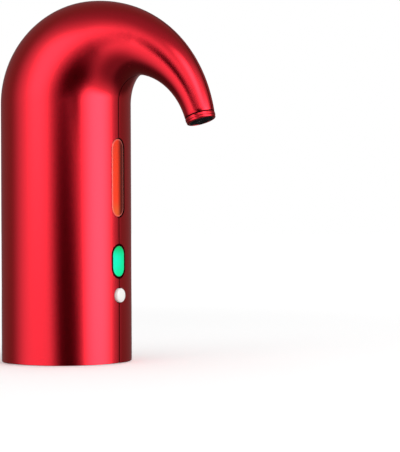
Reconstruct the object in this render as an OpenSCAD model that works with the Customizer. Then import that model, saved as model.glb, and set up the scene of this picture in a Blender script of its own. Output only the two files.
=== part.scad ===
// Electric wine aerator
// A hooked pourer that stands on a bottle neck. A small gear pump draws the wine up, a clear
// chamber behind the window mixes it with air, and a hose leads it through the hook to the nozzle.
// The origin is on the body's axis in the plane that it stands on. +Z is up and the spout
// points along +X. The two housing halves part on the plane Y = 0.

/* [Body] */
// Outer radius of the body
body_r = 30; // [29:0.25:33]
// Height of the straight part of the body
body_h = 118.3; // [116:0.1:128]
// Wall thickness of the housing
wall = 2; // [1.6:0.1:2.4]
// Width of the groove along the parting line
seam_w = 0.5; // [0.2:0.1:0.8]
// Depth of the groove along the parting line
seam_d = 0.4; // [0.2:0.1:0.8]

/* [Hook] */
// Rise of the hook above the straight body
hook_rise = 46.5; // [44:0.5:54]
// Radius of the inner curve where the hook leaves the body
throat_r = 11.5; // [10:0.5:15]
// Angle through which the throat turns before the arch opens out
throat_turn = 102; // [94:1:108]
// Radius of the inner curve under the arch
arch_r = 31.4; // [28:0.2:38]
// Radius of the spout at its end
spout_r = 6.7; // [6.2:0.1:8]
// Lean of the spout's end from the vertical
spout_tilt = 18; // [10:1:24]

/* [Nozzle] */
// Length of the nozzle ring below the housing
tip_l = 3; // [2.4:0.1:5]
// Length of the nozzle's spigot inside the housing
tip_spigot_l = 5; // [4:0.1:6]
// Radius of the outlet
outlet_r = 2.2; // [1.6:0.1:2.6]
// Height of the soft ring round the outlet
drip_t = 1.2; // [0.8:0.1:1.6]

/* [Window and light] */
// Height of the window's centre
window_z = 83.9; // [80:0.1:90]
// Width of the window
window_w = 9; // [8:0.1:11]
// Length of the window
window_h = 35.4; // [28:0.1:40]
// Depth of the window's face below the body
window_set = 0.3; // [0.2:0.1:0.8]
// Height of the status light's centre
light_z = 46.1; // [45:0.1:52]
// Width of the status light
light_w = 10.2; // [8:0.1:11]
// Length of the status light
light_h = 15.7; // [13:0.1:17]
// Depth of the status light's face below the body
light_set = 0.1; // [0.1:0.1:0.6]
// Gap round the window and the status light
lens_gap = 0.35; // [0.1:0.05:0.5]
// Width of the flange behind each lens
lens_lip = 1.2; // [0.8:0.1:1.6]
// Thickness of the flange behind each lens
lens_lip_t = 1.3; // [1:0.1:1.6]

/* [Power button] */
// Height of the button's centre
button_z = 30.7; // [28:0.1:31]
// Radius of the button
button_r = 3.2; // [2.8:0.1:3.6]
// Height of the button's crown above the body
button_rise = 1.7; // [1.2:0.1:2.4]
// Travel of the button
button_travel = 0.8; // [0.5:0.1:1]
// Overhang of the flange that holds the button in
button_lip = 1.1; // [0.8:0.1:1.4]
// Thickness of that flange
button_lip_t = 1; // [0.8:0.1:1.2]

/* [Bottle socket] */
// Radius of the socket for the bottle neck
bottle_r = 15; // [14:0.1:16]
// Length of the soft cuff that grips the neck
grip_l = 22; // [18:0.5:25]
// Thickness of the cuff
cuff_t = 1.8; // [1.4:0.1:2.2]
// Height at which the bottle's mouth seats
seat_z = 32; // [30:0.5:36]
// Thickness of the gasket that the mouth seats on
gasket_t = 2; // [1.5:0.1:3]
// Wall thickness of the socket
sleeve_t = 1.8; // [1.4:0.1:2.2]
// Thickness of the socket's ceiling, on which the pump stands
ceil_t = 2.4; // [2:0.1:3]
// Thickness of the base plate
base_t = 2.4; // [2:0.1:3.4]
// Depth of the base plate above the standing edge
base_set = 0.8; // [0.6:0.1:1.6]
// Radius of the nipple that takes the suction tube
nipple_r = 3; // [2.6:0.1:4]

/* [Hoses] */
// Outer radius of the hoses
hose_r = 3; // [2.8:0.1:3.3]
// Bore radius of the hoses
hose_bore_r = 2; // [1.8:0.1:2.2]
// Length of each hose tail
tail_l = 4; // [3:0.1:6]
// Wall thickness of each hose tail
tail_t = 0.8; // [0.6:0.1:0.9]

/* [Gear pump] */
// Module of the pump gears
gear_m = 0.8; // [0.7:0.05:0.9]
// Teeth on each gear
gear_teeth = 12; // [11:1:13]
// Width of the gears
gear_w = 6; // [5:0.1:7]
// Thickness of the wall round the gears
case_t = 2.6; // [2:0.1:3]
// Thickness of the pump's lower and upper plate
plate_t = 2.5; // [2.2:0.1:3.5]
// Radius of the shaft and the idler pin
shaft_r = 1; // [0.8:0.05:1.2]
// Radius of the pump screws
pump_screw_r = 1; // [0.8:0.05:1.2]

/* [Motor] */
// Diameter across the motor's round sides
motor_d = 20.1; // [18:0.1:21]
// Thickness across the motor's flats
motor_flat = 15.1; // [14:0.1:15.6]
// Length of the motor
motor_l = 25; // [23:0.1:30]
// Thickness of the can's sheet
can_t = 0.8; // [0.6:0.1:1]
// Height of the collar that holds the motor
collar_h = 7; // [5:0.5:10]
// Wall thickness of that collar
collar_t = 1.4; // [1:0.1:1.6]

/* [Aeration chamber] */
// Outer radius of the chamber
chamber_r = 6; // [5.4:0.1:6.1]
// Wall thickness of the chamber
chamber_t = 1.2; // [0.8:0.1:1.4]
// Plates in the mixing insert
mixer_plates = 5; // [3:1:6]

/* [Electronics] */
// Radius of the battery cell
cell_r = 7.1; // [6.5:0.1:9.3]
// Length of the battery cell
cell_l = 49.5; // [45:0.5:52]
// Height of the battery cell's lower end
cell_z = 62; // [60:0.5:66]
// Thickness of the circuit boards
board_t = 1.6; // [1.2:0.1:1.8]
// Width of the main board
board_w = 23; // [20:0.5:25]
// Height of the charging socket's centre
usb_z = 14; // [13:0.1:18]
// Width of the charging socket
usb_w = 9; // [8.8:0.1:9.4]
// Height of the charging socket
usb_h = 3.2; // [3:0.1:3.6]
// Radius of the wires
wire_r = 0.6; // [0.4:0.05:0.7]

/* [Fastening] */
// Radius of the base screws
base_screw_r = 1.2; // [1:0.05:1.4]
// Radius of the locating pins in the housing
pin_r = 1.3; // [1:0.1:1.6]
// Length of the locating pins
pin_l = 4; // [3:0.5:5]
// Clearance between pieces that are assembled
fit = 0.1; // [0.05:0.01:0.15]
// Clearance round turning shafts
run = 0.03; // [0.02:0.01:0.06]

/* [Hidden] */
$fn = 64;

// Colours
red = [0.74, 0.03, 0.09];
black = [0.1, 0.1, 0.11];
soft = [0.22, 0.22, 0.24];
white = [0.93, 0.93, 0.92];
amber = [0.95, 0.32, 0.1];
green = [0.05, 0.85, 0.42];
clear = [0.85, 0.9, 0.95];
steel = [0.7, 0.71, 0.73];
brass = [0.8, 0.66, 0.3];
copper = [0.72, 0.4, 0.2];
board_green = [0.08, 0.36, 0.2];
blue = [0.2, 0.35, 0.6];

// Overshoot of cutting shapes past the faces that they cut
over = 1;
inner_r = body_r - wall;

// Hook: the inner guide is two arcs, and so is the outer one. Each section is the circle whose
// diameter runs from the inner guide to the outer guide, square to the inner guide.
throat_c = [body_r + throat_r, body_h];
arch_c = throat_c - (arch_r - throat_r) * ray(throat_turn);
turn_end = 180 - spout_tilt;
top_c = [hook_rise - body_r, body_h];
spout_end = arch_c + (arch_r + 2 * spout_r) * ray(turn_end);
front_fall = body_h + hook_rise - spout_end.y;
front_run = spout_end.x - top_c.x;
front_r = (front_run * front_run + front_fall * front_fall) / (2 * front_fall);
front_c = [top_c.x, body_h + hook_rise - front_r];
tip_c = arch_c + (arch_r + spout_r) * ray(turn_end);
throat_steps = 22;
arch_steps = 16;
turns = concat(
    [for (i = [0:throat_steps]) throat_turn * i / throat_steps],
    [for (i = [1:arch_steps]) throat_turn + (turn_end - throat_turn) * i / arch_steps]
);
arc_steps = 18;
join_step = 0.02;

// Bottle socket and inlet
base_top = base_set + base_t;
sleeve_in = bottle_r + cuff_t + fit;
sleeve_out = sleeve_in + sleeve_t;
ceil_z = seat_z + gasket_t;
deck_z = ceil_z + ceil_t;
nipple_z = grip_l + 2.5;
cuff_lip = 2.4;
flange_r = nipple_r + 4;
stem_r = nipple_r + 1;
nut_t = 2.6;
nut_r = stem_r + 2.6;
vent_r = 0.8;
tail_r = hose_bore_r - fit;
tail_bore = tail_r - tail_t;

// Main board, button and light: the board stands in front of the socket, and the switch fills the
// room that is left between the board and the button's flange behind the wall
board_room = inner_r - sleeve_out;
board_x = sleeve_out + 0.2 * board_room;
board_face = board_x + board_t;
board_bottom = button_z - 9;
board_top = light_z + 1.1;
led_t = 1.1;
led_w = 2.8;
led_h = 2.4;
led_gap = 3.6;
chip_w = 4;
chip_t = 0.17 * (inner_r - board_face);
coil_r = 2.4;
coil_t = 2 * chip_t;
parts_y = board_w / 3;
flange_gap = 0.27;
flange_step = 0.2;
button_flange = button_r + button_lip;
button_stop = sqrt(inner_r * inner_r - button_flange * button_flange) - flange_gap - button_lip_t;
button_dome = 0.8;
plunger_r = 1.75;
plunger_rise = 0.9;
plunger_end = button_stop - flange_step;
plunger_sink = 0.6;
switch_w = 6;
switch_face = plunger_end - plunger_rise;
guide_t = 1.4;
guide_grip = 1.2;

// Chamber and pump: the gears mesh on the line through [mesh_x, 0], with the inlet on the axis
chamber_x = inner_r - lens_lip_t - chamber_r - 1.7;
mesh_x = chamber_x - chamber_r - motor_flat / 2 - 0.45;
pitch_r = gear_m * gear_teeth / 2;
gear_tip = pitch_r + 0.9 * gear_m;
gear_root = pitch_r - 1.15 * gear_m;
gear_angle = 25;
gear_slack = 0.12;
side_play = 0.05;
case_in = gear_tip + 0.12;
case_out = case_in + case_t;
channel_w = 3.2;
nose_r = 5;
tail_gap = 1;
pump_z = max(deck_z + nut_t + 2 * tail_l + tail_gap, board_top + 0.8);
case_z = pump_z + plate_t;
case_h = gear_w + 2 * side_play;
mount_z = case_z + case_h;
motor_z = mount_z + plate_t;
head_r = 1.9 * pump_screw_r;
head_t = 1.4 * pump_screw_r;
motor_y = -pitch_r;
ear_back = mesh_x - motor_flat / 2 - collar_t - head_r - 0.5;
ear_side = motor_y + motor_d / 2 + collar_t + head_r + 0.5;
post_r = 2.6 * pump_screw_r;
nut_room = nut_r + post_r + fit;
ear_y = max(nose_r + 2, sqrt(max(0, nut_room * nut_room - ear_back * ear_back)));
ears = [[ear_back, -ear_y], [ear_back, ear_y], [mesh_x + case_in + 2, ear_side]];
ear_r = 3 * pump_screw_r;
screw_bite = 7;
seal_r = 3;
seal_t = 1.4;

// Motor
can_h = motor_l - 3;
stack_gap = 0.6;
stack_r = motor_flat / 2 - can_t - stack_gap;
stack_z = can_t + 0.14 * can_h;
stack_h = 0.54 * can_h;
slot_w = 1.2;
magnet_gap = 0.35;
magnet_z = can_t + 0.09 * can_h;
magnet_h = 0.64 * can_h;
commutator_r = 2.2;
commutator_h = 0.22 * can_h;
bell_rim_h = 1.5;
bell_rim_t = 1;
bush_depth = 1.3;
terminal_w = 2;
terminal_h = 2.5;

// Chamber
spigot_r = 3;
spigot_h = 5;
ring_t = 0.9;
chamber_z = motor_z + 0.4;
chamber_top = window_z + window_h / 2 + 2;
chamber_floor = chamber_z + spigot_h + 1;
cap_t = 2;
cap_plug = 3;
mixer_r = chamber_r - chamber_t - 0.15;

// Delivery hose: its path keeps a share of the way across each section of the hook
hose_start = chamber_top + cap_t + 0.2;
hose_in_tip = 1.4;
tip_lip = 0.5;
tip_bevel = 0.7;
tip_step = 0.2;
tip_ring = 0.72 * tip_l;
tip_floor = hose_in_tip - 0.2;
tip_socket_r = hose_r + 0.3;
drip_r = spout_r - 1.3;
hose_sides = 10;
hose_steps = 24;
hose_set = body_r - chamber_x;
hose_turn_end = turn_end - hose_in_tip / (arch_r + spout_r) * 180 / PI;
hose_path = concat(
    [[chamber_x, hose_start], [chamber_x, (hose_start + body_h) / 2]],
    [for (i = [0:hose_steps]) hose_point(hose_turn_end * i / hose_steps)]
);

// Battery and charging board
cell_x = -(inner_r - 3 - cell_r);
cell_top = cell_z + cell_l;
rib_t = 2;
rib_inset = 8;
shelf_hole = cell_r - 2;
rib_front = cell_x + 4;
tab_t = 0.3;
tab_r = 3;
charge_w = 16;
charge_back = -(inner_r - 1.8);
charge_front = -(sleeve_out + 0.7);
charge_z = usb_z - usb_h / 2 - board_t;
usb_face = -(body_r - 1.1);
usb_l = 0.8 * board_room;
usb_sheet = 0.3;
usb_back = 1;
usb_tongue_w = usb_w - 2.4;
charge_post_r = 1.5;

// Fasteners of the housing
base_screw_at = inner_r - 3.4;
base_boss_r = 3 * base_screw_r;
base_boss_h = 11;
base_head_r = 1.8 * base_screw_r;
base_head_t = 1.2 * base_screw_r;
pin_boss_r = 2 * pin_r;
pin_boss_l = 8;
pin_set = pin_boss_r + 0.4;
crown_turn = 60;
crown = hook_outer(crown_turn) - (wall + pin_set) * ray(crown_turn);
pin_places = [
    [-(inner_r - pin_set), 36],
    [-(inner_r - pin_set), max(body_h - 2.5, cell_top + pin_boss_r + 1.3)],
    [inner_r - pin_set, 12],
    crown
];

// Wires: routes from a solder joint to the back of the main board. They run in a lane outside the
// pump's posts, and the charging leads run in one between the socket and the wall.
lane_r = norm(ears[2]) + post_r + wire_r + 1;
low_lane_r = (sleeve_out + inner_r) / 2;
lead_z = board_top - 5.2;
lead_gap = 3;
charge_lead_z = board_bottom + 5.3;
behind_board = board_x - 1.4;
plus_y = 7;
minus_y = 4;
motor_lead_y = 3.2;
terminal_y = -5;
charge_lead_x = charge_front - 2;
charge_lead_y = usb_w / 2 + wire_r + 1.1;
function lane(a, z) = [lane_r * cos(a), lane_r * sin(a), z];
function low_lane(a, z) = [low_lane_r * cos(a), low_lane_r * sin(a), z];
plus_route = [
    [cell_x, 0, cell_top + tab_t], [cell_x, 0, cell_top + 2.5], [cell_x + 2, 5, cell_top + 4.5],
    lane(125, cell_top), lane(112, cell_top - 12), lane(108, (cell_z + cell_top) / 2 - 6),
    lane(104, cell_z + 2), lane(90, pump_z + 6), lane(67, pump_z - 1), lane(47, lead_z + 1.5),
    lane(26, lead_z), [behind_board, plus_y, lead_z], [board_x, plus_y, lead_z]
];
minus_route = [
    [cell_x, 0, cell_z - tab_t], [cell_x, 0, cell_z - 3], [cell_x + 1, 3, cell_z - 5],
    lane(149, cell_z - 8), lane(118, pump_z + 1), lane(84, pump_z - 4),
    lane(61, lead_z - lead_gap + 2), lane(37, lead_z - lead_gap), lane(22, lead_z - lead_gap),
    [behind_board, minus_y, lead_z - lead_gap], [board_x, minus_y, lead_z - lead_gap]
];
function motor_route(s) =
    let (top = motor_z + motor_l + terminal_h, y = 1.4 * s - plus_y, z = lead_z + 1.2 * s - 1) [
        [mesh_x + s * motor_lead_y, motor_y + terminal_y, top],
        [mesh_x + s * motor_lead_y, motor_y + terminal_y, top + 1.5],
        [mesh_x + s * 2.5, motor_y - 9, top + 2.5],
        lane(3 * s - 72, motor_z + motor_l), lane(3 * s - 68, motor_z + motor_l / 2),
        lane(3 * s - 66, pump_z + 8), lane(3 * s - 56, pump_z - 1 + s), lane(3 * s - 42, z + 2),
        lane(3 * s - 27, z), [behind_board, y, z], [board_x, y, z]
    ];
function charge_route(s) =
    let (foot = charge_z + board_t, y = s - charge_lead_y, z = charge_lead_z + s) [
        [charge_lead_x, y, foot], [charge_lead_x, y, foot + 2.6 + s],
        low_lane(s - 152, z - 9), low_lane(s - 124, z - 7), low_lane(-90, z - 5),
        low_lane(-62, z - 3), low_lane(-44, z - 1), [behind_board - 0.6, -plus_y - 2.4, z],
        [behind_board, -plus_y - 1, z], [board_x, -plus_y - 1, z]
    ];
wire_sides = 8;

// Geometry of the hook
function ray(a) = [-cos(a), sin(a)];
function guide_c(a) = a <= throat_turn ? throat_c : arch_c;
function guide_r(a) = a <= throat_turn ? throat_r : arch_r;
function hook_inner(a) = guide_c(a) + guide_r(a) * ray(a);
function cast(from, dir, centre, r) =
    let (w = from - centre, b = w * dir)
    from + (sqrt(b * b - w * w + r * r) - b) * dir;
function hook_outer(a) =
    let (p = cast(guide_c(a), ray(a), top_c, hook_rise))
    p.x <= top_c.x ? p : cast(guide_c(a), ray(a), front_c, front_r);
function hose_point(a) =
    hook_inner(a) + (hose_set + (spout_r - hose_set) * a / turn_end) * ray(a);

// Half ring of the housing in a section's own plane, with the groove of the parting line. Its flats
// stay a hair inside the round wall of the straight body, so that the two meet in one clean step.
function half_ring(section_r) =
    let (r = section_r - join_step, lead = asin(seam_w / 2 / r))
    let (ri = (section_r - wall + join_step) / cos(90 / arc_steps))
    concat(
        [[r - seam_d, 0]],
        [for (i = [0:arc_steps]) let (a = lead + (180 - 2 * lead) * i / arc_steps) r * [cos(a), sin(a)]],
        [[seam_d - r, 0]],
        [for (i = [arc_steps:-1:0]) let (a = 180 * i / arc_steps) ri * [cos(a), sin(a)]]
    );
function placed_ring(a) =
    let (p = hook_inner(a), q = hook_outer(a), c = (p + q) / 2, r = norm(q - p) / 2, u = (q - p) / (2 * r))
    [for (v = half_ring(r)) [c.x - u.x * v.x, v.y, c.y - u.y * v.x]];

// Triangles between neighbouring rings of n points
function skin(rings, n) = [
    for (k = [0:rings - 2], i = [0:n - 1])
    let (j = (i + 1) % n, a = k * n, b = a + n)
    each [[a + i, b + i, a + j], [a + j, b + i, b + j]]
];
function flat(rings) = [for (ring = rings) each ring];

// Points on a circle round each point of a path, square to the path
function heading(path, i) =
    let (d = path[min(i + 1, len(path) - 1)] - path[max(i - 1, 0)])
    d / norm(d);
function wire_ring(path, i, r) =
    let (t = heading(path, i), side = abs(t.z) > 0.9 ? [0, 1, 0] : [0, 0, 1])
    let (e = cross(t, side), u = e / norm(e), v = cross(t, u))
    [for (k = [0:wire_sides - 1]) let (a = 360 * k / wire_sides)
        path[i] + r * (cos(a) * u + sin(a) * v)];
function hose_ring(path, i, r) =
    let (t = heading(path, i), n = [t.y, -t.x])
    [for (k = [0:hose_sides - 1]) let (a = 360 * k / hose_sides)
        [path[i].x + r * cos(a) * n.x, r * sin(a), path[i].y + r * cos(a) * n.y]];

// Angle from a tooth's middle to its flank at radius r
function involute(a) = tan(a) * 180 / PI - a;
function flank(r) =
    let (base = pitch_r * cos(gear_angle), a = acos(min(1, base / max(r, base))))
    90 / gear_teeth - gear_slack / 2 / pitch_r * 180 / PI + involute(gear_angle) - involute(a);

// Shapes that several pieces share

// Bar with round ends that lies along Z and is extruded along X
module long_hole(w, h, x0, x1) {
    translate([x0, 0, 0]) rotate([90, 0, 90]) linear_extrude(x1 - x0) {
        translate([0, h / 2 - w / 2]) circle(d = w);
        translate([0, w / 2 - h / 2]) circle(d = w);
        square([w, h - w], center = true);
    }
}

module tube_between(r_out, r_in, z0, z1) {
    translate([0, 0, z0]) linear_extrude(z1 - z0) difference() {
        circle(r_out);
        circle(r_in);
    }
}

module rod_x(r, x0, x1) {
    translate([x0, 0, 0]) rotate([0, 90, 0]) cylinder(r = r, h = x1 - x0);
}

module box_x(x0, x1, w, z0, z1) {
    translate([x0, -w / 2, z0]) cube([x1 - x0, w, z1 - z0]);
}

module at_tip() {
    translate([tip_c.x, 0, tip_c.y]) rotate([0, -spout_tilt, 0]) children();
}

module at_base_screws() {
    for (a = [45:90:315])
        rotate(a) translate([base_screw_at, 0, 0]) children();
}

module at_ears() {
    for (p = ears)
        translate([p.x, p.y, 0]) children();
}

module wire(path) {
    n = len(path);
    last = [for (k = [wire_sides - 1:-1:0]) (n - 1) * wire_sides + k];
    first = [for (k = [0:wire_sides - 1]) k];
    rings = [for (i = [0:n - 1]) wire_ring(path, i, wire_r)];
    polyhedron(flat(rings), concat([first], [last], skin(n, wire_sides)));
}

// Housing

module hook_half() {
    rings = [for (a = turns) placed_ring(a)];
    n = len(rings[0]);
    last = (len(rings) - 1) * n;
    first_cap = concat(
        [[0, 1, n - 1], [arc_steps + 1, arc_steps + 2, arc_steps + 3]],
        [for (i = [1:arc_steps]) each [[i, i + 1, n - 1 - i], [i, n - 1 - i, n - i]]]
    );
    last_cap = [for (f = first_cap) [last + f[2], last + f[1], last + f[0]]];
    polyhedron(flat(rings), concat(first_cap, last_cap, skin(len(rings), n)));
}

module straight_half() {
    lead = asin(seam_w / 2 / body_r);
    linear_extrude(body_h) difference() {
        circle(body_r);
        circle(inner_r);
        translate([-2 * body_r, -2 * body_r]) square([4 * body_r, 2 * body_r]);
        for (s = [-1, 1])
            polygon([
                [s * (body_r - seam_d), 0], [s * body_r * cos(lead), seam_w / 2],
                [s * (body_r + over), seam_w / 2], [s * (body_r + over), -over],
                [s * (body_r - seam_d), -over]
            ]);
    }
}

// Slice of the inside, on the +Y side, from the rear wall up to x0
module inside_slice(x0, z0, z1) {
    translate([0, 0, z0]) linear_extrude(z1 - z0) intersection() {
        circle(inner_r + wall / 2);
        translate([-2 * body_r, 0]) square([2 * body_r + x0, 2 * body_r]);
    }
}

// Ribs that hold the battery cell: a shelf under it and two saddles round it
module cell_ribs() {
    difference() {
        inside_slice(rib_front, cell_z - rib_t - tab_t, cell_z - tab_t);
        translate([cell_x, 0, 0]) cylinder(r = shelf_hole, h = cell_z);
    }
    difference() {
        for (z = [cell_z + rib_inset, cell_top - rib_inset - rib_t])
            inside_slice(rib_front, z, z + rib_t);
        translate([cell_x, 0, cell_z - over]) cylinder(r = cell_r + fit, h = cell_l + 2 * over);
    }
}

// Slotted rib that holds the main board's edge
module board_guide() {
    difference() {
        translate([0, 0, board_bottom - guide_t]) linear_extrude(board_top - board_bottom + guide_t)
            intersection() {
                circle(inner_r + wall / 2);
                translate([board_x - guide_t, board_w / 2 - guide_grip])
                    square([board_t + 2 * guide_t, 2 * body_r]);
            }
        translate([board_x - fit, 0, board_bottom])
            cube([board_t + 2 * fit, board_w / 2 + fit, board_top - board_bottom + over]);
    }
}

module shell_openings() {
    translate([0, 0, window_z])
        long_hole(window_w + 2 * lens_gap, window_h + 2 * lens_gap, inner_r - 4 * wall, body_r + over);
    translate([0, 0, light_z])
        long_hole(light_w + 2 * lens_gap, light_h + 2 * lens_gap, inner_r - 4 * wall, body_r + over);
    translate([0, 0, button_z])
        rod_x(button_r + fit, inner_r - 4 * wall, body_r + over);
    translate([0, 0, usb_z]) rotate([90, 0, 0])
        long_hole(usb_h + 2 * fit, usb_w + 2 * fit, -(body_r + over), -(inner_r - wall));
    at_tip() translate([0, 0, -over])
        cylinder(r = spout_r - wall + fit / 2, h = tip_spigot_l + fit + over);
}

// Housing half on the +Y side, without its locating pins or sockets
module shell_half() {
    difference() {
        union() {
            straight_half();
            hook_half();
            cell_ribs();
            board_guide();
            for (a = [45, 135])
                rotate(a) translate([base_screw_at, 0, base_top]) cylinder(r = base_boss_r, h = base_boss_h);
            for (p = pin_places)
                translate([p.x, 0, p.y]) rotate([-90, 0, 0]) cylinder(r = pin_boss_r, h = pin_boss_l);
        }
        shell_openings();
        for (a = [45, 135])
            rotate(a) translate([base_screw_at, 0, base_top - over])
                cylinder(r = base_screw_r + run, h = base_boss_h);
    }
}

module left_shell() color(red) {
    shell_half();
    for (p = pin_places)
        translate([p.x, 0, p.y]) rotate([90, 0, 0]) cylinder(r = pin_r, h = pin_l);
}

module right_shell() color(red) {
    difference() {
        mirror([0, 1, 0]) shell_half();
        for (p = pin_places)
            translate([p.x, over, p.y]) rotate([90, 0, 0])
                cylinder(r = pin_r + run, h = pin_l + fit + over);
    }
}

module nozzle_tip() color(red) at_tip() {
    rotate_extrude() polygon([
        [outlet_r, drip_t - tip_l], [drip_r + fit / 2, drip_t - tip_l], [drip_r + fit / 2, -tip_l],
        [spout_r - tip_bevel, -tip_l], [spout_r - tip_step, tip_lip - tip_l],
        [spout_r - tip_step, tip_step - tip_ring], [spout_r, 2 * tip_step - tip_ring], [spout_r, -seam_d],
        [spout_r - seam_d, 0], [spout_r - wall, 0], [spout_r - wall, tip_spigot_l],
        [tip_socket_r, tip_spigot_l], [tip_socket_r, tip_floor], [outlet_r, tip_floor]
    ]);
}

module drip_ring() color(soft) at_tip() {
    translate([0, 0, -tip_l]) tube_between(drip_r, outlet_r, 0, drip_t);
}

// Lens in the curve of the body, with a flange behind the wall
module curved_lens(w, h, z, set) {
    intersection() {
        tube_between(body_r - set, inner_r - lens_lip_t, z - h, z + h);
        translate([0, 0, z]) union() {
            long_hole(w, h, 0, body_r + over);
            intersection() {
                long_hole(w + 2 * lens_lip, h + 2 * lens_lip, 0, body_r);
                cylinder(r = inner_r - fit / 2, h = 2 * h, center = true);
            }
        }
    }
}

module window_lens() color(amber, 0.8) curved_lens(window_w, window_h, window_z, window_set);

module status_lens() color(green) curved_lens(light_w, light_h, light_z, light_set);

// Button, switch and boards

module power_button() color(white) translate([0, 0, button_z]) rotate([0, 90, 0]) {
    crown_x = body_r + button_rise;
    rotate_extrude() polygon(concat(
        [[0, plunger_end], [plunger_r, plunger_end], [plunger_r, button_stop],
         [button_flange, button_stop], [button_flange, button_stop + button_lip_t],
         [button_r, button_stop + button_lip_t]],
        [for (a = [0:7.5:90]) [button_r * cos(a), crown_x + button_dome * (sin(a) - 1)]]
    ));
}

module switch_plunger() color(soft) translate([0, 0, button_z])
    rod_x(plunger_r, switch_face - plunger_sink, plunger_end);

module tact_switch() color(black) translate([0, 0, button_z]) difference() {
    box_x(board_face, switch_face, switch_w, -switch_w / 2, switch_w / 2);
    rod_x(plunger_r + fit, switch_face - plunger_sink - button_travel - fit, switch_face + over);
}

module main_board() color(board_green)
    box_x(board_x, board_face, board_w, board_bottom, board_top);

module status_leds() color(white)
    for (i = [0, 1])
        translate([0, 0, board_top - 1 - led_h - i * led_gap])
            box_x(board_face, board_face + led_t, led_w, 0, led_h);

// Charging controller, motor driver and their coil on the board's face
module board_parts() color(black) {
    for (s = [-1, 1])
        translate([0, s * parts_y, board_bottom + 3])
            box_x(board_face, board_face + chip_t, chip_w, 0, chip_w);
    translate([0, parts_y, board_top - 7]) rod_x(coil_r, board_face, board_face + coil_t);
}

// Bottle socket and inlet

module bottle_socket() color(black) difference() {
    union() {
        tube_between(inner_r - fit, sleeve_in, base_set, base_top);
        tube_between(sleeve_out, sleeve_in, base_top, ceil_z);
        tube_between(sleeve_out, stem_r + fit, ceil_z, deck_z);
        at_ears() translate([0, 0, deck_z]) cylinder(r = post_r, h = pump_z - deck_z);
        for (s = [-1, 1])
            translate([(charge_back + charge_front) / 2, s * (charge_w / 2 - 2), base_top])
                cylinder(r = charge_post_r, h = charge_z - base_top);
    }
    at_ears() translate([0, 0, pump_z - screw_bite]) cylinder(r = pump_screw_r + run, h = screw_bite + over);
    at_base_screws() translate([0, 0, base_set - over]) {
        cylinder(r = base_screw_r + fit, h = base_t + 2 * over);
        cylinder(r = base_head_r + fit, h = base_head_t + over);
    }
    translate([0, (flange_r + sleeve_in) / 2, ceil_z - over]) cylinder(r = vent_r, h = ceil_t + 2 * over);
}

module neck_cuff() color(soft) rotate_extrude() polygon([
    [bottle_r, 0], [sleeve_in + cuff_lip, 0], [sleeve_in + cuff_lip, base_set], [sleeve_in - fit, base_set],
    [sleeve_in - fit, grip_l], [bottle_r, grip_l]
]);

module mouth_gasket() color(soft) difference() {
    tube_between(sleeve_in - fit, flange_r + fit, seat_z, ceil_z);
    translate([0, (flange_r + sleeve_in) / 2, seat_z - over]) cylinder(r = vent_r, h = gasket_t + 2 * over);
}

// Nipple for the suction tube below, threaded stem through the ceiling and hose tail above
module inlet_spigot() color(white) rotate_extrude() polygon([
    [tail_bore, nipple_z], [nipple_r - 0.4, nipple_z], [nipple_r, nipple_z + 0.4], [nipple_r, seat_z],
    [flange_r, seat_z], [flange_r, ceil_z], [stem_r, ceil_z], [stem_r, deck_z + nut_t],
    [tail_r, deck_z + nut_t], [tail_r, deck_z + nut_t + tail_l], [tail_bore, deck_z + nut_t + tail_l]
]);

module spigot_nut() color(white) translate([0, 0, deck_z]) linear_extrude(nut_t) difference() {
    circle(nut_r, $fn = 6);
    circle(stem_r + run);
}

module base_screws() color(steel) at_base_screws() difference() {
    union() {
        translate([0, 0, base_set + 0.1]) cylinder(r = base_head_r, h = base_head_t - 0.1);
        translate([0, 0, base_set + base_head_t]) cylinder(r = base_screw_r, h = base_t + base_boss_h - 4);
    }
    for (a = [0, 90])
        rotate(a) translate([0, 0, base_set])
            cube([1.3 * base_head_r, 0.3 * base_head_r, base_head_t], center = true);
}

module suction_hose() color(clear)
    tube_between(hose_r, hose_bore_r, deck_z + nut_t + 0.2, pump_z - 0.2);

// Gear pump

module pump_outline() {
    for (s = [-1, 1])
        translate([mesh_x, s * pitch_r]) circle(case_out);
    translate([mesh_x - case_out, -pitch_r]) square([2 * case_out, 2 * pitch_r]);
    translate([0, -nose_r]) square([chamber_x, 2 * nose_r]);
    translate([chamber_x, 0]) circle(nose_r);
    circle(nose_r);
    at_ears() circle(ear_r);
    translate([ear_back, -ear_y]) square([mesh_x - ear_back, 2 * ear_y]);
}

module screw_holes() {
    at_ears() circle(pump_screw_r + fit);
}

module pump_base() color(clear) difference() {
    union() {
        translate([0, 0, pump_z]) linear_extrude(plate_t) difference() {
            pump_outline();
            screw_holes();
        }
        translate([0, 0, pump_z - tail_l]) cylinder(r = tail_r, h = tail_l);
    }
    translate([0, 0, pump_z - tail_l - over]) cylinder(r = tail_bore, h = tail_l + plate_t + 2 * over);
    translate([mesh_x, motor_y, case_z - bush_depth]) cylinder(r = shaft_r + run, h = bush_depth + over);
    translate([mesh_x, pitch_r, case_z - bush_depth]) cylinder(r = shaft_r, h = bush_depth + over);
}

module gear_case() color(clear) translate([0, 0, case_z]) linear_extrude(case_h) difference() {
    pump_outline();
    screw_holes();
    for (s = [-1, 1])
        translate([mesh_x, s * pitch_r]) circle(case_in);
    translate([0, -channel_w / 2]) square([chamber_x, channel_w]);
    circle(channel_w / 2);
    translate([chamber_x, 0]) circle(channel_w / 2);
}

// Motor's outline grown by extra on all sides
module motor_outline(extra) {
    intersection() {
        circle(motor_d / 2 + extra);
        square([motor_flat + 2 * extra, 2 * motor_d], center = true);
    }
}

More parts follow.
